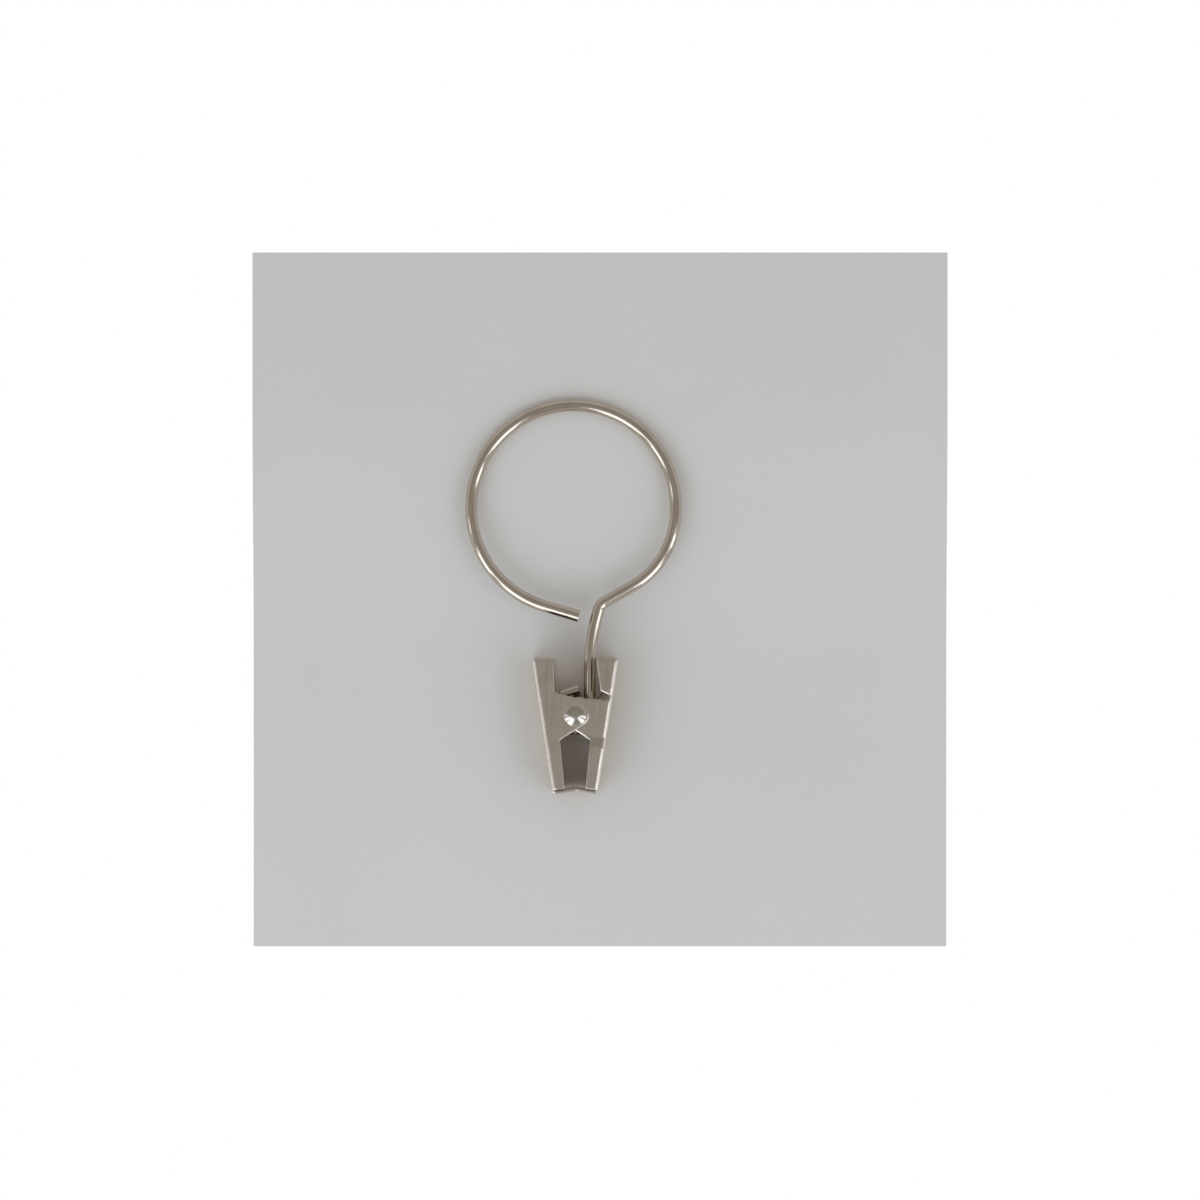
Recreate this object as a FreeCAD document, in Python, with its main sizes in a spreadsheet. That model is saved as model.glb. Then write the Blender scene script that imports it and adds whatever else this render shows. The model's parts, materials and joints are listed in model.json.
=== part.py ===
import FreeCAD, Part
import math
import os
from collections import namedtuple
from types import SimpleNamespace

import Sketcher
from FreeCAD import Placement, Rotation, Vector

# Driving sizes, in millimetres and degrees: name, value and what it sets
SIZES = [
    ("wire_diameter", 2.0, "round wire of the ring, stem and eye"),
    ("ring_inner_diameter", 32.0, "clear hole of the ring, for the rod"),
    ("ring_sweep", 268.4, "round part of the ring"),
    ("open_angle", 16.6, "where the free end leaves the round part, from the lowest point"),
    ("free_end_length", 6.0, "straight free end of the ring"),
    ("shoulder_radius", 14.1, "tighter curve beside the stem, at the middle of the wire"),
    ("shoulder_sweep", 45.0, "turn of that tighter curve"),
    ("shoulder_run", 5.5, "straight run from the curve to the neck"),
    ("neck_radius", 2.0, "bend from the ring down into the stem"),
    ("neck_lean", 16.0, "lean of the stem below the neck"),
    ("neck_run", 0.3, "straight run below the neck"),
    ("stem_curve_radius", 36.0, "gentle curve that brings the stem upright"),
    ("stem_run", 7.2, "upright run of the stem, down to the pivot"),
    ("eye_clearance", 0.2, "room between the eye and the rivet"),
    ("eye_side_run", 2.17, "straight far side of the eye"),
    ("eye_close_radius", 1.2, "bend that closes the eye over the rivet"),
    ("eye_close_angle", 70.0, "turn of that bend"),
    ("eye_end_run", 2.37, "straight cut end of the eye"),
    ("sheet_thickness", 0.5, "sheet of both jaws"),
    ("bend_radius", 0.3, "inside bend between a plate and its flanges"),
    ("clip_depth", 9.4, "clip across its flanges, along the pivot"),
    ("clip_tilt", 8.8, "lean of each plate, closed"),
    ("plate_offset", 5.76, "pivot to the outside of a plate"),
    ("handle_length", 10.14, "pivot to the top of a plate, along the plate"),
    ("jaw_length", 12.43, "pivot to the outside of a lip, along the plate"),
    ("handle_flange_top", 3.7, "flange width at the top of a handle"),
    ("handle_flange_root", 2.97, "flange width at the root of an ear"),
    ("notched_flange_root", 2.25, "flange width at the foot of the inner handle"),
    ("handle_root_height", 4.21, "pivot to the root of a handle flange"),
    ("ear_radius", 2.45, "round end of an ear"),
    ("ear_rise", 0.35, "centre of that round end above the pivot"),
    ("jaw_flange_root", 2.67, "flange width where the jaw meets the ear"),
    ("jaw_flange_tip", 2.18, "flange width at the lip"),
    ("jaw_root_depth", 3.72, "pivot down to the root of a jaw flange"),
    ("ear_play", 0.05, "room between an outer ear and the inner ear beside it"),
    ("notch_width", 1.1, "relief notch above an inner ear"),
    ("notch_flare", 0.4, "rise of that notch's upper edge to its mouth"),
    ("notch_reach", 0.45, "outside of a plate to the end of that notch"),
    ("joggle_top", 3.1, "pivot down to the step below an inner ear"),
    ("joggle_length", 1.6, "length of that step"),
    ("lip_bend_radius", 0.15, "inside bend between a plate and its lip"),
    ("mouth_gap", 0.04, "room between the closed lips"),
    ("tooth_pitch", 1.2, "spacing of the notches that leave teeth on a lip"),
    ("tooth_depth", 0.45, "depth of those notches"),
    ("shank_diameter", 2.4, "shank of the rivet"),
    ("shank_clearance", 0.04, "room between the shank and its holes"),
    ("head_diameter", 3.7, "domed heads of the rivet"),
    ("head_height", 0.6, "height of a head"),
    ("head_edge", 0.06, "straight edge below a head's dome"),
    ("spring_wire", 0.5, "round wire of the spring"),
    ("coil_clearance", 0.15, "room between the coil and the rivet"),
    ("coil_gap", 0.04, "room between turns, and between a leg and its plate"),
    ("coil_side_gap", 0.3, "room between the coil and the eye"),
    ("leg_reach", 7.0, "pivot to the end of a spring leg, along the plate"),
]
FULL_COIL_TURNS = 2
OUTER_SIDE = -1
INNER_SIDE = 1

# One stop of an outline: a sharp corner, or a round of a radius that turns left (1) or right (-1)
Stop = namedtuple("Stop", "x y radius turn", defaults=(None, 0))


class Size:
    """A size with its value and the formula that binds it to the sheet."""

    def __init__(self, value, text):
        self.value = value
        self.text = text

    @staticmethod
    def of(other):
        return other if isinstance(other, Size) else Size(float(other), f"({float(other)})")

    def __add__(self, other):
        other = Size.of(other)
        return Size(self.value + other.value, f"({self.text} + {other.text})")

    def __sub__(self, other):
        other = Size.of(other)
        return Size(self.value - other.value, f"({self.text} - {other.text})")

    def __mul__(self, other):
        other = Size.of(other)
        return Size(self.value * other.value, f"({self.text} * {other.text})")

    def __truediv__(self, other):
        other = Size.of(other)
        return Size(self.value / other.value, f"({self.text} / {other.text})")

    def __rsub__(self, other):
        return Size.of(other) - self

    def __neg__(self):
        return self * -1

    __radd__ = __add__
    __rmul__ = __mul__


ZERO = Size.of(0)


def sine(angle):
    return Size(math.sin(math.radians(angle.value)), f"sin({angle.text})")


def cosine(angle):
    return Size(math.cos(math.radians(angle.value)), f"cos({angle.text})")


def tangent(angle):
    return Size(math.tan(math.radians(angle.value)), f"tan({angle.text})")


def make_sheet(doc):
    """Write the driving sizes to the sheet and give each one back by name."""
    sheet = doc.addObject("Spreadsheet::Sheet", "Sizes")
    for row, (alias, value, words) in enumerate(SIZES, start=1):
        sheet.set(f"A{row}", alias.replace("_", " "))
        sheet.set(f"B{row}", str(value))
        sheet.setAlias(f"B{row}", alias)
        sheet.set(f"C{row}", words)
    doc.recompute()
    sizes = SimpleNamespace()
    for alias, _, _ in SIZES:
        setattr(sizes, alias, Size(float(sheet.get(alias)), f"Sizes.{alias}"))
    return sizes


def bind(target, name, size):
    """Set a number on a feature or sketch and tie it to the sheet."""
    target.setExpression(name, size.text)


def plane_of(body, role):
    return next(part for part in body.Origin.OriginFeatures if part.Role == role)


def new_sketch(body, name, role, offset=None):
    """A sketch on one of the body's own planes, moved along the plane's normal by the offset."""
    sketch = body.newObject("Sketcher::SketchObject", name)
    sketch.AttachmentSupport = [(plane_of(body, role), "")]
    sketch.MapMode = "FlatFace"
    if offset is not None:
        sketch.AttachmentOffset = Placement(Vector(0, 0, offset.value), Rotation())
        bind(sketch, "AttachmentOffset.Base.z", offset)
    return sketch


def tangent_line(start, end):
    """The run that leaves one stop and arrives at the next, tangent to their rounds."""
    a = Vector(start.x.value, start.y.value, 0)
    b = Vector(end.x.value, end.y.value, 0)
    offset_a = start.turn * start.radius.value if start.radius else 0
    offset_b = end.turn * end.radius.value if end.radius else 0
    reach = b - a
    heading = math.atan2(reach.y, reach.x) - math.asin((offset_b - offset_a) / reach.Length)
    left = Vector(-math.sin(heading), math.cos(heading), 0)
    return a - left * offset_a, b - left * offset_b


def pin_point(sketch, geometry, place, stop):
    """Tie a point of the sketch to the stop's place."""
    for kind, axis, size in (("DistanceX", -2, stop.x), ("DistanceY", -1, stop.y)):
        if abs(size.value) < 1e-9:
            sketch.addConstraint(Sketcher.Constraint("PointOnObject", geometry, place, axis))
        else:
            index = sketch.addConstraint(Sketcher.Constraint(kind, -1, 1, geometry, place, size.value))
            bind(sketch, f"Constraints[{index}]", size)


def draw_outline(sketch, stops):
    """Draw a closed outline of straight runs, sharp corners and tangent rounds, fully tied to the sheet."""
    count = len(stops)
    runs = [tangent_line(stops[i], stops[(i + 1) % count]) for i in range(count)]
    lines = [sketch.addGeometry(Part.LineSegment(*run), False) for run in runs]
    for i, stop in enumerate(stops):
        arrive, leave = runs[i - 1][1], runs[i][0]
        if not stop.radius:
            sketch.addConstraint(Sketcher.Constraint("Coincident", lines[i - 1], 2, lines[i], 1))
            pin_point(sketch, lines[i], 1, stop)
            continue
        centre = Vector(stop.x.value, stop.y.value, 0)
        ends = (arrive, leave) if stop.turn > 0 else (leave, arrive)
        angles = [math.atan2(end.y - centre.y, end.x - centre.x) for end in ends]
        circle = Part.Circle(centre, Vector(0, 0, 1), stop.radius.value)
        arc = sketch.addGeometry(Part.ArcOfCircle(circle, *angles), False)
        first, last = (1, 2) if stop.turn > 0 else (2, 1)
        sketch.addConstraint(Sketcher.Constraint("Tangent", lines[i - 1], 2, arc, first))
        sketch.addConstraint(Sketcher.Constraint("Tangent", arc, last, lines[i], 1))
        pin_point(sketch, arc, 3, stop)
        index = sketch.addConstraint(Sketcher.Constraint("Radius", arc, stop.radius.value))
        bind(sketch, f"Constraints[{index}]", stop.radius)


def add_feature(body, kind, name, sketch, length=None):
    """A pad or pocket, the same distance to both sides of its sketch, or right through."""
    feature = body.newObject(f"PartDesign::{kind}", name)
    feature.Profile = sketch
    feature.SideType = "Symmetric"
    if length is None:
        feature.Type = "ThroughAll"
    else:
        bind(feature, "Length", length)
    return feature


class WirePath:
    """A path bent as a wire is, in the plane of the ring: straight feeds and round bends in turn."""

    def __init__(self, place, heading):
        self.place = place
        self.heading = heading
        self.edges = []
        self.centre = None

    def direction(self, turn=0):
        angle = math.radians(self.heading + turn)
        return Vector(math.cos(angle), 0, math.sin(angle))

    def feed(self, length):
        end = self.place + self.direction() * length
        self.edges.append(Part.LineSegment(self.place, end).toShape())
        self.place = end

    def bend(self, radius, turn):
        """Bend to the left by a positive turn, or to the right by a negative one."""
        side = math.copysign(90, turn)
        self.centre = self.place + self.direction(side) * radius
        middle = self.centre - self.direction(side + turn / 2) * radius
        end = self.centre - self.direction(side + turn) * radius
        self.edges.append(Part.Arc(self.place, middle, end).toShape())
        self.place = end
        self.heading += turn

    def wire(self):
        return Part.Wire(self.edges)


def bend_ring_wire(sizes):
    """The middle line of the ring's wire, from the free end to the cut end of the eye, and the pivot."""
    wire_radius = sizes.wire_diameter.value / 2
    ring_radius = sizes.ring_inner_diameter.value / 2 + wire_radius
    heading = 180 - sizes.open_angle.value
    outward = math.radians(heading + 90)
    leaving = Vector(math.cos(outward), 0, math.sin(outward)) * ring_radius
    path = WirePath(leaving, heading)
    path.place = leaving - path.direction() * sizes.free_end_length.value
    path.feed(sizes.free_end_length.value)
    path.bend(ring_radius, -sizes.ring_sweep.value)
    path.bend(sizes.shoulder_radius.value, -sizes.shoulder_sweep.value)
    path.feed(sizes.shoulder_run.value)
    path.bend(sizes.neck_radius.value, (-90 - sizes.neck_lean.value - path.heading) % 360)
    path.feed(sizes.neck_run.value)
    path.bend(sizes.stem_curve_radius.value, sizes.neck_lean.value)
    path.feed(sizes.stem_run.value)
    path.bend(sizes.shank_diameter.value / 2 + sizes.eye_clearance.value + wire_radius, -180)
    pivot = path.centre
    path.feed(sizes.eye_side_run.value)
    path.bend(sizes.eye_close_radius.value, -sizes.eye_close_angle.value)
    path.feed(sizes.eye_end_run.value)
    return path.wire(), pivot


def make_wire_ring(doc, sizes, route):
    """The ring, stem and eye: round wire along its route."""
    path = doc.addObject("Part::Feature", "RingRoute")
    path.Shape = route
    section = doc.addObject("Part::Circle", "RingSection")
    bind(section, "Radius", sizes.wire_diameter / 2)
    start = route.OrderedVertexes[0].Point
    along = route.OrderedEdges[0].tangentAt(route.OrderedEdges[0].FirstParameter)
    section.Placement = Placement(start, Rotation(Vector(0, 0, 1), along))
    ring = doc.addObject("Part::Sweep", "WireRing")
    ring.Sections = [section]
    ring.Spine = (path, [f"Edge{i + 1}" for i in range(len(route.Edges))])
    ring.Solid = True
    ring.Label = "wire_ring"
    return ring


def channel_section(sizes, side, set_in):
    """The folded section of a jaw: a plate with a flange at each end, drawn across the plate."""
    outer_bend = sizes.bend_radius + sizes.sheet_thickness
    half = sizes.clip_depth / 2 - set_in
    plate = sizes.plate_offset * side
    bend_x = plate - outer_bend * side
    tip = (sizes.ear_radius + sizes.sheet_thickness) * -side
    inside = half - sizes.sheet_thickness
    bend_y = half - outer_bend
    return [
        Stop(tip, half),
        Stop(bend_x, bend_y, outer_bend, -side),
        Stop(bend_x, -bend_y, outer_bend, -side),
        Stop(tip, -half),
        Stop(tip, -inside),
        Stop(bend_x, -bend_y, sizes.bend_radius, side),
        Stop(bend_x, bend_y, sizes.bend_radius, side),
        Stop(tip, inside),
    ]


def add_channel(body, sizes, side, levels):
    """The folded channel of a jaw, through a section at each level: a height and how far it is set in."""
    sketches = []
    for i, (height, set_in) in enumerate(levels):
        sketch = new_sketch(body, f"Section{i + 1}", "XY_Plane", height)
        draw_outline(sketch, channel_section(sizes, side, set_in))
        sketches.append(sketch)
    channel = body.newObject("PartDesign::AdditiveLoft", "Channel")
    channel.Profile = sketches[0]
    channel.Sections = sketches[1:]
    channel.Ruled = True


def trim_flanges(body, sizes, side, notch):
    """Cut the flanges to their outline: handle, ear with a round end, and jaw."""
    plate = sizes.plate_offset * side

    def inward(width):
        return plate - width * side

    beyond = (sizes.ear_radius + sizes.sheet_thickness * 2) * -side
    top_drop = sizes.handle_flange_top * tangent(sizes.clip_tilt)
    above = sizes.handle_length + sizes.sheet_thickness
    below = -(sizes.jaw_length + sizes.sheet_thickness)
    half = sizes.notch_width / 2
    notch_height = sizes.handle_root_height - half
    if notch:
        ear_root = [
            Stop(inward(sizes.notched_flange_root), sizes.handle_root_height + sizes.notch_flare),
            Stop(inward(sizes.notch_reach + half), notch_height, half, -side),
            Stop(inward(sizes.handle_flange_root), notch_height - half),
        ]
    else:
        ear_root = [Stop(inward(sizes.handle_flange_root), sizes.handle_root_height)]
    outline = [
        Stop(beyond, above),
        Stop(plate, above),
        Stop(plate, sizes.handle_length),
        Stop(inward(sizes.handle_flange_top), sizes.handle_length - top_drop),
        *ear_root,
        Stop(ZERO, sizes.ear_rise, sizes.ear_radius, side),
        Stop(inward(sizes.jaw_flange_root), -sizes.jaw_root_depth),
        Stop(inward(sizes.jaw_flange_tip), below),
        Stop(beyond, below),
    ]
    sketch = new_sketch(body, "FlangeOutline", "XZ_Plane")
    draw_outline(sketch, outline)
    add_feature(body, "Pocket", "FlangeTrim", sketch)


def bore_ears(body, sizes):
    """The rivet's hole through both ears."""
    sketch = new_sketch(body, "EarHole", "XZ_Plane")
    radius = sizes.shank_diameter / 2 + sizes.shank_clearance
    hole = sketch.addGeometry(Part.Circle(Vector(0, 0, 0), Vector(0, 0, 1), radius.value), False)
    sketch.addConstraint(Sketcher.Constraint("Coincident", hole, 3, -1, 1))
    index = sketch.addConstraint(Sketcher.Constraint("Radius", hole, radius.value))
    bind(sketch, f"Constraints[{index}]", radius)
    add_feature(body, "Pocket", "EarBore", sketch)


def lip_end(sizes, side):
    """Where a lip's lower edge stops, so that the closed lips meet in the middle."""
    reach = (sizes.mouth_gap / 2 + sizes.jaw_length * sine(sizes.clip_tilt)) / cosine(sizes.clip_tilt)
    return reach * side


def add_lip(body, sizes, side):
    """The lip, bent square from the foot of the plate, as wide as the plate is flat."""
    plate = sizes.plate_offset * side
    outer = sizes.lip_bend_radius + sizes.sheet_thickness
    bend_x = plate - outer * side
    bend_z = outer - sizes.jaw_length
    inner_face = plate - sizes.sheet_thickness * side
    end = lip_end(sizes, side)
    sketch = new_sketch(body, "LipProfile", "XZ_Plane")
    draw_outline(sketch, [
        Stop(plate, bend_z + sizes.sheet_thickness),
        Stop(bend_x, bend_z, outer, -side),
        Stop(end, -sizes.jaw_length),
        Stop(end, sizes.sheet_thickness - sizes.jaw_length),
        Stop(bend_x, bend_z, sizes.lip_bend_radius, side),
        Stop(inner_face, bend_z + sizes.sheet_thickness),
    ])
    flat_width = sizes.clip_depth - (sizes.bend_radius + sizes.sheet_thickness) * 2
    add_feature(body, "Pad", "Lip", sketch, flat_width)
    return flat_width


def cut_teeth(body, sizes, side, flat_width):
    """Notches along the gripping edge of the lip, cut right through it, which leave a row of teeth."""
    edge = lip_end(sizes, side)
    root = edge + sizes.tooth_depth * side
    mouth = edge - sizes.tooth_depth * side
    count = int(flat_width.value / sizes.tooth_pitch.value)
    through = sizes.sheet_thickness * 2
    sketch = new_sketch(body, "ToothNotches", "XY_Plane", sizes.sheet_thickness / 2 - sizes.jaw_length)
    for i in range(count):
        middle = sizes.tooth_pitch * (i - (count - 1) / 2)
        draw_outline(sketch, [
            Stop(root, middle),
            Stop(mouth, middle - sizes.tooth_pitch / 2),
            Stop(mouth, middle + sizes.tooth_pitch / 2),
        ])
    add_feature(body, "Pocket", "Teeth", sketch, through)


def make_jaw(doc, sizes, name, side, levels, notch, pivot):
    """One stamped half of the clip, drawn along its own plate and then leaned and set on the pivot."""
    body = doc.addObject("PartDesign::Body", name.title().replace("_", ""))
    body.Label = name
    add_channel(body, sizes, side, levels)
    trim_flanges(body, sizes, side, notch)
    bore_ears(body, sizes)
    flat_width = add_lip(body, sizes, side)
    cut_teeth(body, sizes, side, flat_width)
    body.Placement = Placement(pivot, Rotation(Vector(0, 1, 0), side * sizes.clip_tilt.value))
    return body


def make_outer_jaw(doc, sizes, pivot):
    foot = sizes.lip_bend_radius + sizes.sheet_thickness - sizes.jaw_length
    levels = [(sizes.handle_length, ZERO), (foot, ZERO)]
    return make_jaw(doc, sizes, "outer_jaw", OUTER_SIDE, levels, False, pivot)


def make_inner_jaw(doc, sizes, pivot):
    """The half whose ears are set in by a sheet, so that they turn inside the other half's ears."""
    foot = sizes.lip_bend_radius + sizes.sheet_thickness - sizes.jaw_length
    set_in = sizes.sheet_thickness + sizes.ear_play
    levels = [
        (sizes.handle_length, ZERO),
        (sizes.handle_root_height, ZERO),
        (sizes.handle_root_height - sizes.notch_width, set_in),
        (-sizes.joggle_top, set_in),
        (-(sizes.joggle_top + sizes.joggle_length), ZERO),
        (foot, ZERO),
    ]
    return make_jaw(doc, sizes, "inner_jaw", INNER_SIDE, levels, True, pivot)


def draw_rivet(sketch, sizes):
    """Half of the rivet's outline, closed along its axis: a shank between two low domes."""
    seat = sizes.clip_depth / 2
    rim = seat + sizes.head_edge
    tip = seat + sizes.head_height
    head = sizes.head_diameter / 2
    shank = sizes.shank_diameter / 2
    corners = [
        Stop(ZERO, -tip),
        Stop(head, -rim),
        Stop(head, -seat),
        Stop(shank, -seat),
        Stop(shank, seat),
        Stop(head, seat),
        Stop(head, rim),
        Stop(ZERO, tip),
    ]
    points = [Vector(corner.x.value, corner.y.value, 0) for corner in corners]
    rise = tip.value - rim.value
    radius = (head.value ** 2 + rise ** 2) / (2 * rise)
    half_dome = math.asin(head.value / radius)
    quarter = math.pi / 2
    domes = {
        0: (radius - tip.value, -quarter, half_dome - quarter),
        6: (tip.value - radius, quarter - half_dome, quarter),
    }
    runs = []
    for i, point in enumerate(points):
        if i in domes:
            height, first, last = domes[i]
            circle = Part.Circle(Vector(0, height, 0), Vector(0, 0, 1), radius)
            runs.append(sketch.addGeometry(Part.ArcOfCircle(circle, first, last), False))
            sketch.addConstraint(Sketcher.Constraint("PointOnObject", runs[i], 3, -2))
        else:
            runs.append(sketch.addGeometry(Part.LineSegment(point, points[(i + 1) % len(points)]), False))
    for i, corner in enumerate(corners):
        sketch.addConstraint(Sketcher.Constraint("Coincident", runs[i - 1], 2, runs[i], 1))
        pin_point(sketch, runs[i], 1, corner)


def make_pivot_rivet(doc, sizes, pivot):
    """A shank with a domed head on each outer ear, turned about the pivot."""
    body = doc.addObject("PartDesign::Body", "PivotRivet")
    body.Label = "pivot_rivet"
    sketch = new_sketch(body, "RivetProfile", "XY_Plane")
    draw_rivet(sketch, sizes)
    rivet = body.newObject("PartDesign::Revolution", "Rivet")
    rivet.Profile = sketch
    rivet.ReferenceAxis = (sketch, ["V_Axis"])
    rivet.Angle = 360
    body.Placement = Placement(pivot, Rotation())
    return body


def spring_leg(sizes, coil_radius, side):
    """Where a spring leg leaves the coil and where it ends on its plate, in the plane across the pivot."""
    tilt = math.radians(sizes.clip_tilt.value)
    wall = sizes.sheet_thickness.value + sizes.spring_wire.value / 2 + sizes.coil_gap.value
    across = sizes.plate_offset.value - wall
    reach = sizes.leg_reach.value
    end_x = side * (across * math.cos(tilt) + reach * math.sin(tilt))
    end_z = reach * math.cos(tilt) - across * math.sin(tilt)
    distance = math.hypot(end_x, end_z)
    bearing = math.atan2(end_z, end_x) - side * math.acos(coil_radius / distance)
    leaving = Vector(math.cos(bearing), 0, math.sin(bearing)) * coil_radius
    return leaving, Vector(end_x, 0, end_z)


def wind_coil(pitch, turns, radius):
    """The middle line of a coil about Z, wound in even spans of under a turn."""
    spans = math.ceil(turns)
    rise = pitch * turns / spans
    edges = []
    for i in range(spans):
        span = Part.makeHelix(pitch, rise, radius)
        span.rotate(Vector(0, 0, 0), Vector(0, 0, 1), 360 * turns / spans * i)
        span.translate(Vector(0, 0, rise * i))
        edges += span.Edges
    return Part.Wire(edges)


def make_torsion_spring(doc, sizes, pivot):
    """A close-wound coil round the rivet, with a leg to the inside of each handle."""
    wire = sizes.spring_wire.value
    coil_radius = sizes.shank_diameter.value / 2 + sizes.coil_clearance.value + wire / 2
    pitch = wire + sizes.coil_gap.value
    near = sizes.wire_diameter.value / 2 + sizes.coil_side_gap.value + wire / 2
    start, start_end = spring_leg(sizes, coil_radius, INNER_SIDE)
    finish, finish_end = spring_leg(sizes, coil_radius, OUTER_SIDE)
    first = math.degrees(math.atan2(start.z, start.x))
    last = math.degrees(math.atan2(finish.z, finish.x))
    turns = FULL_COIL_TURNS + ((first - last) % 360) / 360
    far = near + pitch * turns
    coil = wind_coil(pitch, turns, coil_radius)
    coil.rotate(Vector(0, 0, 0), Vector(1, 0, 0), -90)
    coil.rotate(Vector(0, 0, 0), Vector(0, 1, 0), -first)
    coil.translate(Vector(0, near, 0))
    slope = pitch / (2 * math.pi * coil_radius)
    start += Vector(0, near, 0)
    start_end += Vector(0, near - slope * (start_end - start).Length, 0)
    finish += Vector(0, far, 0)
    finish_end += Vector(0, far + slope * (finish_end - finish).Length, 0)
    leg_in = Part.LineSegment(start_end, start).toShape()
    leg_out = Part.LineSegment(finish, finish_end).toShape()
    route = Part.Wire([leg_in, *coil.OrderedEdges, leg_out])
    section = Part.Wire([Part.makeCircle(wire / 2, start_end, start - start_end)])
    spring = doc.addObject("Part::Feature", "TorsionSpring")
    spring.Shape = route.makePipeShell([section], True)
    spring.Placement = Placement(pivot, Rotation())
    spring.Label = "torsion_spring"
    return spring


def check_and_export(doc, pieces):
    """Stop if anything failed, then write one file for each piece."""
    doc.recompute()
    failed = [item.Name for item in doc.Objects if {"Invalid", "Error"} & set(item.State)]
    if failed:
        raise RuntimeError(f"failed objects: {failed}")
    for piece in pieces:
        shape = piece.Shape
        if shape.isNull() or not shape.isValid() or len(shape.Solids) != 1:
            raise RuntimeError(f"{piece.Label} is not one valid solid")
    os.makedirs("parts", exist_ok=True)
    for piece in pieces:
        piece.Shape.exportStep(f"parts/{piece.Label}.step")


def main():
    doc = FreeCAD.newDocument("CurtainRing")
    sizes = make_sheet(doc)
    route, pivot = bend_ring_wire(sizes)
    pieces = [
        make_wire_ring(doc, sizes, route),
        make_outer_jaw(doc, sizes, pivot),
        make_inner_jaw(doc, sizes, pivot),
        make_pivot_rivet(doc, sizes, pivot),
        make_torsion_spring(doc, sizes, pivot),
    ]
    check_and_export(doc, pieces)
    for piece in pieces:
        box = piece.Shape.BoundBox
        corners = [box.XMin, box.YMin, box.ZMin, box.XMax, box.YMax, box.ZMax]
        print(f"{piece.Label}: {piece.Shape.Volume:.3f} mm3, box", [round(value, 3) for value in corners])
    print("pivot", [round(value, 4) for value in pivot])


main()
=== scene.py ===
import json
import math

import bmesh
import bpy
from bpy.props import FloatProperty, FloatVectorProperty, IntProperty, PointerProperty
from bpy.types import Operator, Panel, PropertyGroup
from mathutils import Matrix, Vector


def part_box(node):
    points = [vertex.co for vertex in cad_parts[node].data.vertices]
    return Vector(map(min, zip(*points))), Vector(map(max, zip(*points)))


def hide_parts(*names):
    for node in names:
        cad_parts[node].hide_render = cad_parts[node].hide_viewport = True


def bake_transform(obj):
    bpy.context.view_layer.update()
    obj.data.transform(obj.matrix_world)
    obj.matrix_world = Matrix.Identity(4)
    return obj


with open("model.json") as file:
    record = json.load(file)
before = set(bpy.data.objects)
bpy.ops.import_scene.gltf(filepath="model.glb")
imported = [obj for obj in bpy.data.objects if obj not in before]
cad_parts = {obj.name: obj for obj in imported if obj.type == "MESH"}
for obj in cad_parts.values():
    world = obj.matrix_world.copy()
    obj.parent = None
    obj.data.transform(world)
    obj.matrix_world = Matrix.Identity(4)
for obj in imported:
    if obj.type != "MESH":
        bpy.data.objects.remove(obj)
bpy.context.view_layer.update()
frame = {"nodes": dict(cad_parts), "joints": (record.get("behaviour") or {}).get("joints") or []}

bl_info = {
    "name": "Curtain Ring with Clip",
    "version": (1, 0, 0),
    "blender": (4, 5, 0),
    "location": "3D View > Sidebar > Curtain Ring",
    "description": "Finishes a wire curtain ring with a sprung sheet metal clip and sets it on a pale card",
    "category": "Object",
}

NODES = frame["nodes"]
PIVOT = Vector(next(joint["pos_m"] for joint in frame["joints"] if joint["name"] == "jaw_open"))


# Fixed values

MM = 0.001
SENSOR_WIDTH = 36
SHADER_SAMPLES = 8
TURN_STEPS = 40
WIRE_SIDES = 18
# Colour the metal is darkened towards: painted shade in crevices and round the pivot, and real pits and dull
# patches
DIRT_AND_SHADE_COLOUR = (0.10, 0.08, 0.06, 1)
# How far the painted shade looks for a closed-in place on each piece
WIRE_SHADE_REACH = 2.5 * MM
SHEET_SHADE_REACH = 1.6 * MM
RIVET_SHADE_REACH = 0.7 * MM
SPRING_SHADE_REACH = 0.6 * MM
DRAWN_RELIEF = 0.004 * MM
FORMED_RELIEF = 0.003 * MM
FIBRE_RELIEF = 0.02 * MM
RIVET_RINGS = 38.0
SPRING_ROUGHNESS = 0.28
CARD_ROUGHNESS = 0.85
CARD_CELLS = 150
CARD_CLEARANCE = 0.05 * MM
CARD_DENT = 2.2 * MM
CARD_GLOW_REACH = 10 * MM
WINDOW_DISTANCE = 0.6
# Name, direction round the ring, height above the card, width and height in degrees, share of the light
WINDOWS = [
    ("window_side", -171, 34, 7, 34, 0.5),
    ("window_far_left", -149, 38, 12, 42, 1.0),
    ("window_left", -120, 41, 24, 48, 1.0),
    ("window_right", -45, 41, 17, 48, 1.0),
    ("window_far_right", -18, 38, 9, 42, 1.0),
]


# Sizes and colours

class WireFinish(PropertyGroup):
    """Polished plating on the ring's wire"""

    colour: FloatVectorProperty(
        name="Plating", description="Colour of the clean plating", subtype="COLOR",
        size=4, min=0, max=1, default=(0.59, 0.53, 0.462, 1))
    tarnish: FloatVectorProperty(
        name="Tarnish", description="Warmer colour of the dulled patches", subtype="COLOR",
        size=4, min=0, max=1, default=(0.44, 0.38, 0.31, 1))
    roughness: FloatProperty(
        name="Roughness", description="Roughness of the polished wire", subtype="FACTOR",
        min=0, max=1, default=0.10)


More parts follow.
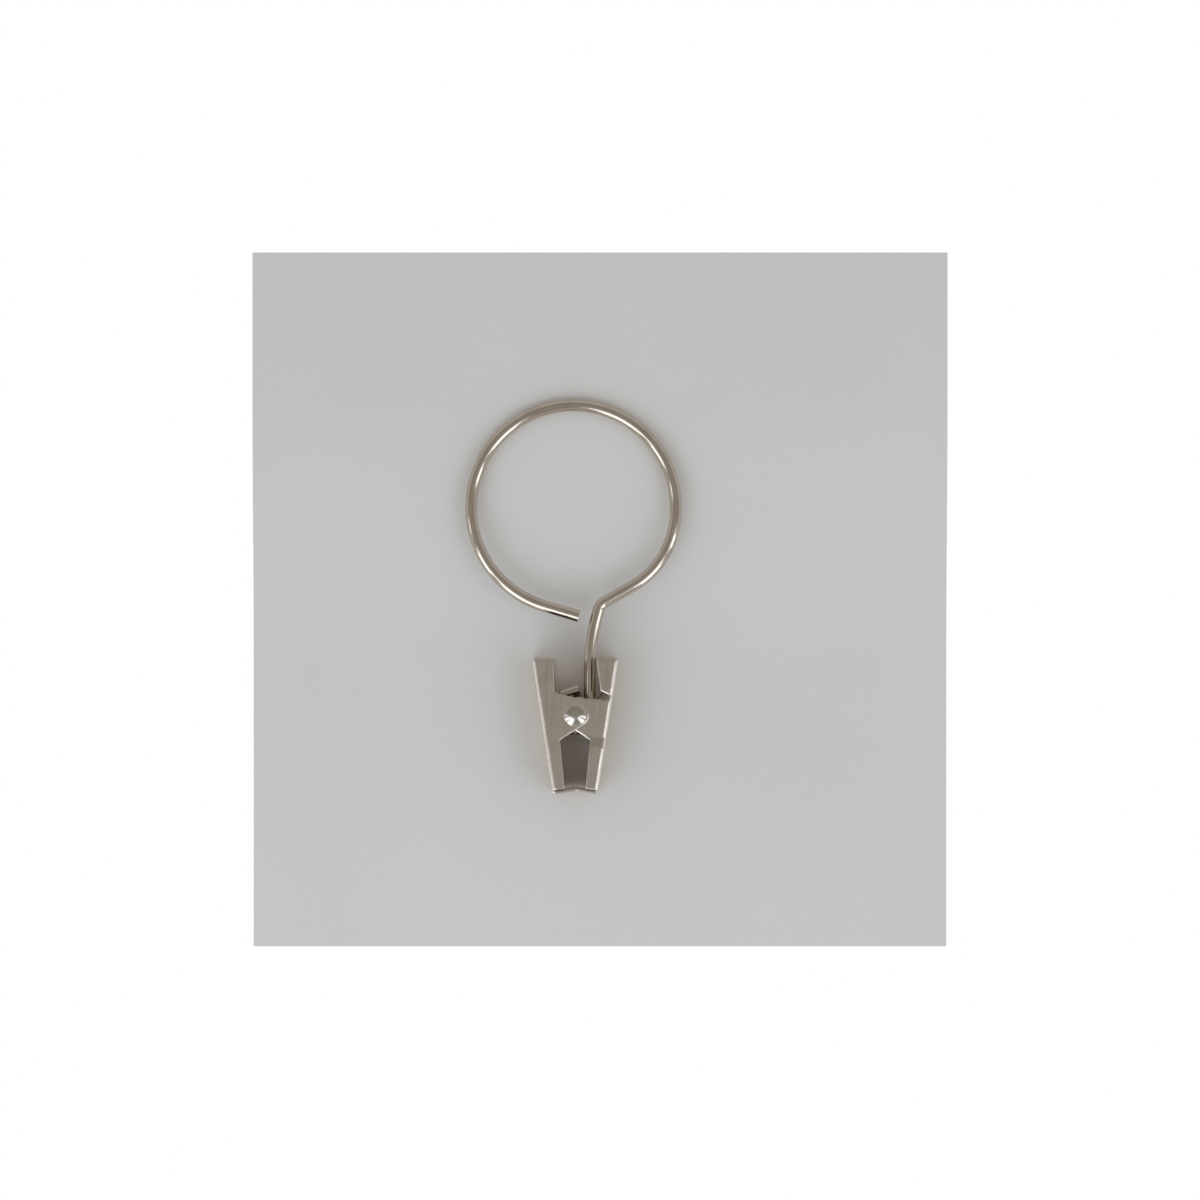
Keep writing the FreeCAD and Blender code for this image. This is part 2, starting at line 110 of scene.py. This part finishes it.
class SheetFinish(PropertyGroup):
    """Polished plating on the stamped jaws"""

    colour: FloatVectorProperty(
        name="Plating", description="Colour of the clean plating", subtype="COLOR",
        size=4, min=0, max=1, default=(0.63, 0.585, 0.53, 1))
    tarnish: FloatVectorProperty(
        name="Tarnish", description="Warmer colour of the dulled patches", subtype="COLOR",
        size=4, min=0, max=1, default=(0.47, 0.39, 0.30, 1))
    roughness: FloatProperty(
        name="Roughness", description="Roughness of the rolled sheet", subtype="FACTOR",
        min=0, max=1, default=0.2)
    # Colour of the painted highlight on down-facing edges and on the bends, not a colour of the metal
    highlight_colour: FloatVectorProperty(
        name="Edges", description="Colour of the stamped edges, rubbed bright", subtype="COLOR",
        size=4, min=0, max=1, default=(0.94, 0.91, 0.87, 1))
    edge_radius: FloatProperty(
        name="Edge radius", description="Tumbled radius on the stamped edges", unit="LENGTH",
        min=0, default=0.5 * MM)


class RivetFinish(PropertyGroup):
    """Plating on the rivet's heads"""

    colour: FloatVectorProperty(
        name="Plating", description="Colour of the clean plating", subtype="COLOR",
        size=4, min=0, max=1, default=(0.57, 0.535, 0.49, 1))
    # Colour of the painted shade round the heads, also used for dirty smears
    dirt_and_shade: FloatVectorProperty(
        name="Grime", description="Dirt held round the heads", subtype="COLOR",
        size=4, min=0, max=1, default=(0.20, 0.16, 0.12, 1))
    roughness: FloatProperty(
        name="Roughness", description="Roughness of the formed heads", subtype="FACTOR",
        min=0, max=1, default=0.16)


class SpringSizes(PropertyGroup):
    """The torsion spring on the rivet"""

    wire: FloatProperty(
        name="Wire", description="Diameter of the spring wire", unit="LENGTH", min=0.1 * MM, default=0.5 * MM)
    coil_radius: FloatProperty(
        name="Coil radius", description="Pivot to the middle of the wire", unit="LENGTH",
        min=0.5 * MM, default=1.6 * MM)
    turn_gap: FloatProperty(
        name="Turn gap", description="Room between two turns", unit="LENGTH", min=0, default=0.04 * MM)
    near: FloatProperty(
        name="Near turn", description="Middle plane of the ring to the first turn", unit="LENGTH",
        default=1.55 * MM)
    full_turns: IntProperty(
        name="Full turns", description="Whole turns of the coil", min=1, default=2)
    leg_across: FloatProperty(
        name="Leg across", description="Pivot to a leg's end, sideways", unit="LENGTH", default=5.95 * MM)
    leg_rise: FloatProperty(
        name="Leg rise", description="Pivot to a leg's end, upwards", unit="LENGTH", default=6.16 * MM)
    colour: FloatVectorProperty(
        name="Steel", description="Colour of the spring steel", subtype="COLOR",
        size=4, min=0, max=1, default=(0.42, 0.40, 0.38, 1))


class StageSettings(PropertyGroup):
    """Card, lamps and camera"""

    card_colour: FloatVectorProperty(
        name="Card", description="Colour of the pale card", subtype="COLOR",
        size=4, min=0, max=1, default=(0.503, 0.506, 0.505, 1))
    # Painted light: warm light from the plating, painted into the card's colour near the metal
    card_glow: FloatVectorProperty(
        name="Card by the metal", description="Colour of the card where the plating throws warm light on it",
        subtype="COLOR", size=4, min=0, max=1, default=(0.62, 0.56, 0.51, 1))
    card_width: FloatProperty(
        name="Card width", description="Side of the square card", unit="LENGTH", min=0.01, default=115.5 * MM)
    card_middle: FloatVectorProperty(
        name="Card middle", description="Middle of the card, across and up", unit="LENGTH",
        size=2, default=(4.4 * MM, -15.3 * MM))
    room: FloatVectorProperty(
        name="Room", description="Soft light from above that fills the shadows", subtype="COLOR",
        size=4, min=0, max=1, default=(0.87, 0.84, 0.79, 1))
    low_room: FloatVectorProperty(
        name="Low room", description="Soft light from low over the card", subtype="COLOR",
        size=4, min=0, max=1, default=(0.61, 0.585, 0.55, 1))
    ceiling: FloatVectorProperty(
        name="Ceiling", description="What the metal mirrors straight above the card", subtype="COLOR",
        size=4, min=0, max=1, default=(0.385, 0.36, 0.332, 1))
    shade: FloatVectorProperty(
        name="Shade", description="Darker part of the room round the ceiling", subtype="COLOR",
        size=4, min=0, max=1, default=(0.31, 0.288, 0.264, 1))
    walls: FloatVectorProperty(
        name="Walls", description="What the metal mirrors low over the card", subtype="COLOR",
        size=4, min=0, max=1, default=(0.56, 0.53, 0.49, 1))
    window_colour: FloatVectorProperty(
        name="Daylight", description="Colour of the windows' light", subtype="COLOR",
        size=3, min=0, max=1, default=(0.84, 0.91, 1.0))
    window_light: FloatProperty(
        name="Windows", description="Brightness of the windows", min=0, default=1.85)
    view_width: FloatProperty(
        name="View width", description="Width of the picture at the ring", unit="LENGTH",
        min=0.01, default=199.2 * MM)
    camera_distance: FloatProperty(
        name="Camera distance", description="Camera to the ring", unit="LENGTH", min=0.1, default=1.0)


class RingSettings(PropertyGroup):
    """Everything that can be changed on the curtain ring"""

    wire: PointerProperty(type=WireFinish)
    sheet: PointerProperty(type=SheetFinish)
    rivet: PointerProperty(type=RivetFinish)
    spring: PointerProperty(type=SpringSizes)
    stage: PointerProperty(type=StageSettings)


# Shader maths

class Term:
    """A node's output that can be used in a sum: each operation adds its Math node."""

    def __init__(self, recipe, socket):
        self.recipe = recipe
        self.socket = socket

    def maths(self, operation, first, second):
        return self.recipe.node("ShaderNodeMath", {"operation": operation}, {0: first, 1: second})

    def __add__(self, other):
        return self.maths("ADD", self, other)

    def __sub__(self, other):
        return self.maths("SUBTRACT", self, other)

    def __rsub__(self, other):
        return self.maths("SUBTRACT", other, self)

    def __mul__(self, other):
        return self.maths("MULTIPLY", self, other)

    __radd__ = __add__
    __rmul__ = __mul__


class Recipe:
    """The node tree of one material or of the world."""

    def __init__(self, owner):
        owner.use_nodes = True
        self.tree = owner.node_tree
        self.tree.nodes.clear()

    def node(self, kind, settings=None, sockets=None, out=0):
        """Add a node, set it up, fill its sockets with values or links and give back one output."""
        made = self.tree.nodes.new(kind)
        for name, value in (settings or {}).items():
            setattr(made, name, value)
        for name, value in (sockets or {}).items():
            if isinstance(value, Term):
                self.tree.links.new(value.socket, made.inputs[name])
            else:
                made.inputs[name].default_value = value
        return Term(self, made.outputs[out]) if made.outputs else None

    def millimetres(self, stretch=(1, 1, 1)):
        """The point on the object in millimetres, squeezed along an axis where the stretch is under 1."""
        point = self.node("ShaderNodeTexCoord", out="Object")
        scale = [value / MM for value in stretch]
        return self.node("ShaderNodeMapping", sockets={"Vector": point, "Scale": scale})

    def distance(self, point, middle):
        """How far a point in millimetres is from a place."""
        sockets = {0: point, 1: tuple(middle / MM)}
        return self.node("ShaderNodeVectorMath", {"operation": "DISTANCE"}, sockets, out="Value")

    def noise(self, point, scale, detail=2.0, roughness=0.5):
        sockets = {"Vector": point, "Scale": scale, "Detail": detail, "Roughness": roughness}
        return self.node("ShaderNodeTexNoise", {"noise_dimensions": "3D"}, sockets)

    def ramp(self, factor, low, high):
        """Nothing below the low value, all of it above the high one."""
        sockets = {"Value": factor, "From Min": low, "From Max": high}
        return self.node("ShaderNodeMapRange", {"interpolation_type": "SMOOTHSTEP"}, sockets)

    def mix(self, factor, first, second):
        settings = {"data_type": "RGBA"}
        return self.node("ShaderNodeMix", settings, {0: factor, 6: first, 7: second}, out=2)

    def crevice(self, reach):
        """How closed in a place is, from 0 in the open to 1 in a gap."""
        settings = {"samples": SHADER_SAMPLES}
        return 1 - self.node("ShaderNodeAmbientOcclusion", settings, {"Distance": reach}, out="AO")

    def round_edges(self, radius):
        """The normal on rounded edges, and how far a place lies on an edge that faces down, from 0 to 1, the
        mask of a painted highlight.
        """
        rounded = self.node("ShaderNodeBevel", {"samples": SHADER_SAMPLES}, {"Radius": radius})
        flat = self.node("ShaderNodeNewGeometry", out="Normal")
        settings = {"operation": "DOT_PRODUCT"}
        agree = self.node("ShaderNodeVectorMath", settings, {0: rounded, 1: flat}, out="Value")
        rise = self.node("ShaderNodeSeparateXYZ", sockets={"Vector": rounded}, out="Z")
        return rounded, self.ramp(1 - agree, 0.02, 0.25) * self.ramp(0 - rise, 0.12, 0.35)

    def bend_highlights(self):
        """How far a place lies on a bend between two flat sides, from 0 to 1, the mask of a painted highlight
        on the bend lines.
        """
        normal = self.node("ShaderNodeTexCoord", out="Normal")
        across = self.node("ShaderNodeSeparateXYZ", sockets={"Vector": normal}, out="X")
        sideways = self.node("ShaderNodeMath", {"operation": "ABSOLUTE"}, {0: across})
        return self.ramp(sideways, 0.42, 0.62) * (1 - self.ramp(sideways, 0.88, 0.97))

    def finish_metal(self, colour, roughness, height, height_size, rounded=None):
        """The metal shader and its output, with a bump on the rounded normal if there is one."""
        sockets = {"Height": height, "Distance": height_size, "Strength": 1.0}
        if rounded:
            sockets["Normal"] = rounded
        normal = self.node("ShaderNodeBump", sockets=sockets)
        metal = self.node("ShaderNodeBsdfPrincipled", sockets={
            "Base Color": colour, "Metallic": 1.0, "Roughness": roughness, "Normal": normal})
        self.node("ShaderNodeOutputMaterial", sockets={"Surface": metal})


# Finishes

def plated_wire(finish):
    """Bright plating on drawn wire: faint tarnish, hair scratches and pits, with painted shade where the wire
    is closed in and round the pivot.
    """
    material = bpy.data.materials.new("plated_wire")
    recipe = Recipe(material)
    point = recipe.millimetres()
    patches = recipe.ramp(recipe.noise(point, 0.22, detail=4), 0.45, 0.75)
    smears = recipe.noise(point, 1.1, detail=3)
    hairs = recipe.ramp(recipe.noise(recipe.millimetres((9, 0.6, 9)), 1.0, detail=3), 0.6, 0.78)
    pits = recipe.ramp(recipe.noise(point, 5.5, detail=2), 0.66, 0.8)
    # Painted shade: darker where the wire is closed in, and round the pivot where the eye sits inside the
    # clip; the pits are real
    dirt_and_shade = recipe.ramp(recipe.crevice(WIRE_SHADE_REACH), 0.4, 0.95)
    pivot_shade = 1 - recipe.ramp(recipe.distance(point, PIVOT), 3.0, 6.0)
    colour = recipe.mix(patches * 0.45, tuple(finish.colour), tuple(finish.tarnish))
    colour = recipe.mix(pits * 0.35 + dirt_and_shade * 0.6 + pivot_shade * 0.3, colour, DIRT_AND_SHADE_COLOUR)
    roughness = finish.roughness + (smears - 0.5) * 0.10 + patches * 0.05 + hairs * 0.06 + dirt_and_shade * 0.2
    recipe.finish_metal(colour, roughness, smears * 0.3 - hairs * 0.5 - pits, DRAWN_RELIEF)
    return material


def plated_sheet(finish):
    """Plating on rolled sheet: rolling lines along the plate, scuffs, edges rounded by tumbling, painted
    shade where it is closed in and painted highlights on down-facing edges and bends.
    """
    material = bpy.data.materials.new("plated_sheet")
    recipe = Recipe(material)
    point = recipe.millimetres()
    patches = recipe.ramp(recipe.noise(point, 0.3, detail=4), 0.45, 0.75)
    waves = recipe.noise(point, 0.45, detail=1)
    rolling = recipe.noise(recipe.millimetres((7, 7, 0.35)), 1.0, detail=3, roughness=0.6)
    streaks = recipe.ramp(recipe.noise(recipe.millimetres((1.6, 1.6, 0.16)), 1.0, detail=3), 0.48, 0.75)
    scuffs = recipe.ramp(recipe.noise(recipe.millimetres((0.9, 3, 4)), 1.4, detail=4), 0.62, 0.74)
    # Painted shade: the sheet is darkened where it is closed in, between the jaws and round the ears
    dirt_and_shade = recipe.ramp(recipe.crevice(SHEET_SHADE_REACH), 0.45, 1.0)
    colour = recipe.mix(patches * 0.35 + streaks * 0.45, tuple(finish.colour), tuple(finish.tarnish))
    colour = recipe.mix(dirt_and_shade * 0.75, colour, DIRT_AND_SHADE_COLOUR)
    # Painted highlight: edges facing down towards the lamps and the bend lines are lightened, standing in for
    # their glint
    rounded, edge_highlight = recipe.round_edges(finish.edge_radius)
    bend_highlight = recipe.bend_highlights()
    colour = recipe.mix(edge_highlight * 0.8 + bend_highlight * 0.8, colour, tuple(finish.highlight_colour))
    roughness = finish.roughness + (rolling - 0.5) * 0.10 + scuffs * 0.08 + patches * 0.05
    roughness = roughness + dirt_and_shade * 0.25 + edge_highlight * 0.14 + bend_highlight * 0.12
    height = waves * 14 + rolling * 0.4 - scuffs * 0.2
    recipe.finish_metal(colour, roughness, height, FORMED_RELIEF, rounded)
    return material


def plated_rivet(finish):
    """Plating on formed heads: rings left by the forming tool, painted shade round the foot of the dome and a
    few dirty smears.
    """
    material = bpy.data.materials.new("plated_rivet")
    recipe = Recipe(material)
    point = recipe.node("ShaderNodeTexCoord", out="Object")
    across = (1 / MM, 0, 1 / MM)
    offset = recipe.node("ShaderNodeVectorMath", {"operation": "SUBTRACT"}, {0: point, 1: tuple(PIVOT)})
    flat = recipe.node("ShaderNodeVectorMath", {"operation": "MULTIPLY"}, {0: offset, 1: across})
    radius = recipe.node("ShaderNodeVectorMath", {"operation": "LENGTH"}, {0: flat}, out="Value")
    rings = recipe.node("ShaderNodeMath", {"operation": "SINE"}, {0: radius * RIVET_RINGS})
    smears = recipe.noise(recipe.millimetres(), 1.8, detail=3)
    # Painted shade round the foot of the dome, mixed with real dirty smears
    dirt_and_shade = recipe.ramp(recipe.crevice(RIVET_SHADE_REACH), 0.15, 0.6)
    shade_and_smears = dirt_and_shade * 0.8 + recipe.ramp(smears, 0.5, 0.8) * 0.2
    colour = recipe.mix(shade_and_smears, tuple(finish.colour), tuple(finish.dirt_and_shade))
    roughness = finish.roughness + (smears - 0.5) * 0.14 + dirt_and_shade * 0.3
    recipe.finish_metal(colour, roughness, rings * 0.25 + smears * 2, FORMED_RELIEF)
    return material


def spring_steel(sizes):
    """Drawn spring wire: lines along the wire, a dull oiled colour with darker patches, and painted shade
    between the turns.
    """
    material = bpy.data.materials.new("spring_steel")
    recipe = Recipe(material)
    round_wire = recipe.node("ShaderNodeAttribute", {"attribute_name": "round_wire"}, out="Fac")
    along = recipe.node("ShaderNodeAttribute", {"attribute_name": "along"}, out="Fac")
    place = recipe.node("ShaderNodeCombineXYZ", sockets={"X": round_wire * 14.0, "Y": along * 0.5})
    lines = recipe.noise(place, 1.0, detail=3)
    patches = recipe.noise(recipe.millimetres(), 0.9, detail=3)
    # Painted shade: the wire is darkened where the turns lie close together
    dirt_and_shade = recipe.ramp(recipe.crevice(SPRING_SHADE_REACH), 0.4, 1.0)
    colour = recipe.mix(recipe.ramp(patches, 0.4, 0.75) * 0.4 + dirt_and_shade * 0.5, tuple(sizes.colour), DIRT_AND_SHADE_COLOUR)
    roughness = SPRING_ROUGHNESS + (lines - 0.5) * 0.2 + dirt_and_shade * 0.2
    recipe.finish_metal(colour, roughness, lines, DRAWN_RELIEF)
    return material


def assign(piece, material):
    """Give a piece one material."""
    piece.data.materials.clear()
    piece.data.materials.append(material)


# Forms

def spring_path(sizes):
    """The middle line of the spring wire, from one leg's end round the coil to the other leg's end."""
    pitch = sizes.wire + sizes.turn_gap
    reach = math.hypot(sizes.leg_across, sizes.leg_rise)
    lean = math.acos(sizes.coil_radius / reach)
    rise = math.atan2(sizes.leg_rise, sizes.leg_across)
    first = rise - lean
    turns = sizes.full_turns + ((2 * first - math.pi) / math.tau) % 1
    leg = math.sqrt(reach ** 2 - sizes.coil_radius ** 2)
    drift = leg * pitch / (math.tau * sizes.coil_radius)
    far = sizes.near + pitch * turns
    steps = round(turns * TURN_STEPS)
    path = [Vector((sizes.leg_across, sizes.near - drift, sizes.leg_rise))]
    for i in range(steps + 1):
        angle = first - math.tau * turns * i / steps
        depth = sizes.near + pitch * turns * i / steps
        place = Vector((math.cos(angle), 0, math.sin(angle)))
        path.append(place * sizes.coil_radius + Vector((0, depth, 0)))
    path.append(Vector((-sizes.leg_across, far + drift, sizes.leg_rise)))
    return [point + PIVOT for point in path], far


def add_piece(name, form):
    """Put a finished form into the scene as an object."""
    mesh = bpy.data.meshes.new(name)
    form.to_mesh(mesh)
    form.free()
    piece = bpy.data.objects.new(name, mesh)
    bpy.context.scene.collection.objects.link(piece)
    return piece


def sweep_wire(name, path, radius):
    """A round wire along a path, with its cut ends, that knows how far along and round each point lies."""
    form = bmesh.new()
    along_layer = form.verts.layers.float.new("along")
    round_layer = form.verts.layers.float.new("round_wire")
    last = len(path) - 1
    tangents = [(path[min(i + 1, last)] - path[max(i - 1, 0)]).normalized() for i in range(last + 1)]
    side = tangents[0].orthogonal().normalized()
    distance = 0.0
    loops = []
    for i, (point, tangent) in enumerate(zip(path, tangents)):
        side = (side - tangent * side.dot(tangent)).normalized()
        other = tangent.cross(side)
        distance += (point - path[i - 1]).length / MM if i else 0.0
        loop = []
        for j in range(WIRE_SIDES):
            angle = math.tau * j / WIRE_SIDES
            vertex = form.verts.new(point + (side * math.cos(angle) + other * math.sin(angle)) * radius)
            vertex[along_layer] = distance
            vertex[round_layer] = abs(2 * j / WIRE_SIDES - 1)
            loop.append(vertex)
        loops.append(loop)
    for near, far in zip(loops, loops[1:]):
        for j in range(WIRE_SIDES):
            k = (j + 1) % WIRE_SIDES
            form.faces.new((near[j], near[k], far[k], far[j])).smooth = True
    form.faces.new(reversed(loops[0]))
    form.faces.new(loops[-1])
    return add_piece(name, form)


def smooth_step(value):
    """An even rise from 0 to 1, flat at both ends."""
    value = min(max(value, 0), 1)
    return value * value * (3 - 2 * value)


# Operators

class CURTAIN_OT_plate_ring(Operator):
    """Plate the ring, its stem and its eye"""

    bl_idname = "curtain.plate_ring"
    bl_label = "Plate the Ring"

    def execute(self, context):
        assign(NODES["wire_ring"], plated_wire(context.scene.curtain_ring.wire))
        return {"FINISHED"}


class CURTAIN_OT_plate_jaws(Operator):
    """Plate both stamped jaws of the clip"""

    bl_idname = "curtain.plate_jaws"
    bl_label = "Plate the Jaws"

    def execute(self, context):
        material = plated_sheet(context.scene.curtain_ring.sheet)
        for name in ("outer_jaw", "inner_jaw"):
            assign(NODES[name], material)
        return {"FINISHED"}


class CURTAIN_OT_plate_rivet(Operator):
    """Plate the rivet that the clip turns on"""

    bl_idname = "curtain.plate_rivet"
    bl_label = "Plate the Rivet"

    def execute(self, context):
        assign(NODES["pivot_rivet"], plated_rivet(context.scene.curtain_ring.rivet))
        return {"FINISHED"}


class CURTAIN_OT_wind_spring(Operator):
    """Wind the torsion spring, one leg on each jaw"""

    bl_idname = "curtain.wind_spring"
    bl_label = "Wind the Spring"

    def execute(self, context):
        sizes = context.scene.curtain_ring.spring
        path, far = spring_path(sizes)
        spring = sweep_wire("wound_spring", path, sizes.wire / 2)
        assign(spring, spring_steel(sizes))
        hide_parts("torsion_spring")
        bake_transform(spring)
        return {"FINISHED"}


class CURTAIN_OT_set_stage(Operator):
    """Lay the ring on a pale card, light it from a row of windows and set the camera"""

    bl_idname = "curtain.set_stage"
    bl_label = "Set the Stage"

    def execute(self, context):
        stage = context.scene.curtain_ring.stage
        self.lay_card(stage)
        self.light_room(context.scene, stage)
        for window in WINDOWS:
            self.hang_window(stage, *window)
        self.set_camera(context.scene, stage)
        context.scene.view_settings.view_transform = "Standard"
        return {"FINISHED"}

    def lay_card(self, stage):
        """The card lies under the clip, gives way to the rivet's head and curves up to the ring's top."""
        ring_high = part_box("wire_ring")[1]
        jaw_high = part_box("outer_jaw")[1]
        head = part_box("pivot_rivet")[1].y - jaw_high.y
        middle_x, middle_z = stage.card_middle
        half = stage.card_width / 2
        form = bmesh.new()
        bmesh.ops.create_grid(form, x_segments=CARD_CELLS, y_segments=CARD_CELLS, size=half)
        for vertex in form.verts:
            x, z = middle_x + vertex.co.x, middle_z + vertex.co.y
            curve = smooth_step((z - jaw_high.z) / (ring_high.z - jaw_high.z))
            dent = 1 - smooth_step(math.hypot(x - PIVOT.x, z - PIVOT.z) / CARD_DENT - 1)
            depth = jaw_high.y + (ring_high.y - jaw_high.y) * curve + head * dent + CARD_CLEARANCE
            vertex.co = (x, depth, z)
        for face in form.faces:
            face.smooth = True
        card = add_piece("card", form)
        assign(card, self.card_paper(stage))

    def card_paper(self, stage):
        """Pale card with a faint fibre, painted warmer close to the metal as if lit by the plating, and seen
        through from behind.
        """
        material = bpy.data.materials.new("card_paper")
        recipe = Recipe(material)
        point = recipe.millimetres()
        fibre = recipe.noise(point, 1.6, detail=5, roughness=0.65)
        cloud = recipe.noise(point, 0.03, detail=2)
        paler = tuple(value * 1.06 for value in stage.card_colour[:3]) + (1,)
        darker = tuple(value * 0.95 for value in stage.card_colour[:3]) + (1,)
        colour = recipe.mix(fibre * 0.5 + cloud * 0.5, darker, paler)
        # Painted light: the card turns warm where the metal closes it in, standing in for light thrown from
        # the plating
        painted_bounce_light = recipe.ramp(recipe.crevice(CARD_GLOW_REACH), 0.2, 0.65)
        colour = recipe.mix(painted_bounce_light, colour, tuple(stage.card_glow))
        relief = {"Height": fibre, "Distance": FIBRE_RELIEF, "Strength": 0.5}
        bump = recipe.node("ShaderNodeBump", sockets=relief)
        paper = recipe.node("ShaderNodeBsdfPrincipled", sockets={
            "Base Color": colour, "Roughness": CARD_ROUGHNESS, "Normal": bump})
        clear = recipe.node("ShaderNodeBsdfTransparent")
        behind = recipe.node("ShaderNodeNewGeometry", out="Backfacing")
        seen = recipe.node("ShaderNodeLightPath", out="Is Camera Ray")
        shown = recipe.node("ShaderNodeMixShader", sockets={0: behind * seen, 1: paper, 2: clear})
        recipe.node("ShaderNodeOutputMaterial", sockets={"Surface": shown})
        return material

    def light_room(self, scene, stage):
        """A soft room on the camera's side, darker towards the camera, and white behind the card."""
        scene.world = bpy.data.worlds.new("room")
        recipe = Recipe(scene.world)
        direction = recipe.node("ShaderNodeTexCoord", out="Generated")
        depth = recipe.node("ShaderNodeSeparateXYZ", sockets={"Vector": direction}, out="Y")
        behind = recipe.ramp(depth, 0.0, 0.12)
        high = recipe.ramp(0 - depth, 0.45, 0.75)
        overhead = recipe.ramp(0 - depth, 0.85, 0.98)
        camera = recipe.node("ShaderNodeLightPath", out="Is Camera Ray")
        glossy = recipe.node("ShaderNodeLightPath", out="Is Glossy Ray")
        through = recipe.node("ShaderNodeLightPath", out="Is Transmission Ray")
        mirrored = recipe.mix(high, tuple(stage.walls), tuple(stage.shade))
        mirrored = recipe.mix(overhead, mirrored, tuple(stage.ceiling))
        fill = recipe.mix(high, tuple(stage.low_room), tuple(stage.room))
        colour = recipe.mix(glossy, fill, mirrored)
        past = (glossy + through) * behind
        white = recipe.node("ShaderNodeMath", {"operation": "MAXIMUM"}, {0: camera, 1: past})
        colour = recipe.mix(white, colour, (1, 1, 1, 1))
        light = recipe.node("ShaderNodeBackground", sockets={"Color": colour, "Strength": 1.0})
        recipe.node("ShaderNodeOutputWorld", sockets={"Surface": light})

    def hang_window(self, stage, name, azimuth, elevation, width, height, share):
        """A soft rectangular lamp that faces the ring, its place and size in degrees as seen from there."""
        turn, lift = math.radians(azimuth), math.radians(elevation)
        level = math.cos(lift)
        towards = Vector((math.cos(turn) * level, -math.sin(lift), math.sin(turn) * level))
        lamp = bpy.data.lights.new(name, "AREA")
        lamp.shape = "RECTANGLE"
        lamp.size = 2 * WINDOW_DISTANCE * math.tan(math.radians(width / 2))
        lamp.size_y = 2 * WINDOW_DISTANCE * math.tan(math.radians(height / 2))
        lamp.energy = share * stage.window_light * math.pi * lamp.size * lamp.size_y
        lamp.color = stage.window_colour
        window = bpy.data.objects.new(name, lamp)
        across = Vector((-math.sin(turn), 0, math.cos(turn)))
        axes = Matrix((across, towards.cross(across), towards)).transposed()
        window.matrix_world = Matrix.Translation(towards * WINDOW_DISTANCE) @ axes.to_4x4()
        bpy.context.scene.collection.objects.link(window)

    def set_camera(self, scene, stage):
        lens = bpy.data.cameras.new("camera")
        lens.sensor_width = SENSOR_WIDTH
        lens.lens = lens.sensor_width * stage.camera_distance / stage.view_width
        camera = bpy.data.objects.new("camera", lens)
        middle_x, middle_z = stage.card_middle
        camera.location = (middle_x, -stage.camera_distance, middle_z)
        camera.rotation_euler = (math.radians(90), 0, 0)
        scene.collection.objects.link(camera)
        scene.camera = camera


class CURTAIN_PT_ring(Panel):
    """Steps that finish the curtain ring"""

    bl_label = "Curtain Ring"
    bl_idname = "CURTAIN_PT_ring"
    bl_space_type = "VIEW_3D"
    bl_region_type = "UI"
    bl_category = "Curtain Ring"

    def draw(self, context):
        for step in STEPS:
            self.layout.operator(step.bl_idname)
        settings = context.scene.curtain_ring
        for group in (settings.wire, settings.sheet, settings.rivet, settings.spring, settings.stage):
            box = self.layout.box()
            for name in group.bl_rna.properties.keys():
                if name not in ("rna_type", "name"):
                    box.prop(group, name)


STEPS = (
    CURTAIN_OT_plate_ring,
    CURTAIN_OT_plate_jaws,
    CURTAIN_OT_plate_rivet,
    CURTAIN_OT_wind_spring,
    CURTAIN_OT_set_stage,
)
CLASSES = (
    WireFinish,
    SheetFinish,
    RivetFinish,
    SpringSizes,
    StageSettings,
    RingSettings,
    *STEPS,
    CURTAIN_PT_ring,
)


def register():
    for item in CLASSES:
        bpy.utils.register_class(item)
    bpy.types.Scene.curtain_ring = PointerProperty(type=RingSettings)


def unregister():
    del bpy.types.Scene.curtain_ring
    for item in reversed(CLASSES):
        bpy.utils.unregister_class(item)


def main():
    register()
    bpy.ops.curtain.plate_ring()
    bpy.ops.curtain.plate_jaws()
    bpy.ops.curtain.plate_rivet()
    bpy.ops.curtain.wind_spring()
    bpy.ops.curtain.set_stage()


if __name__ == "__main__":
    main()
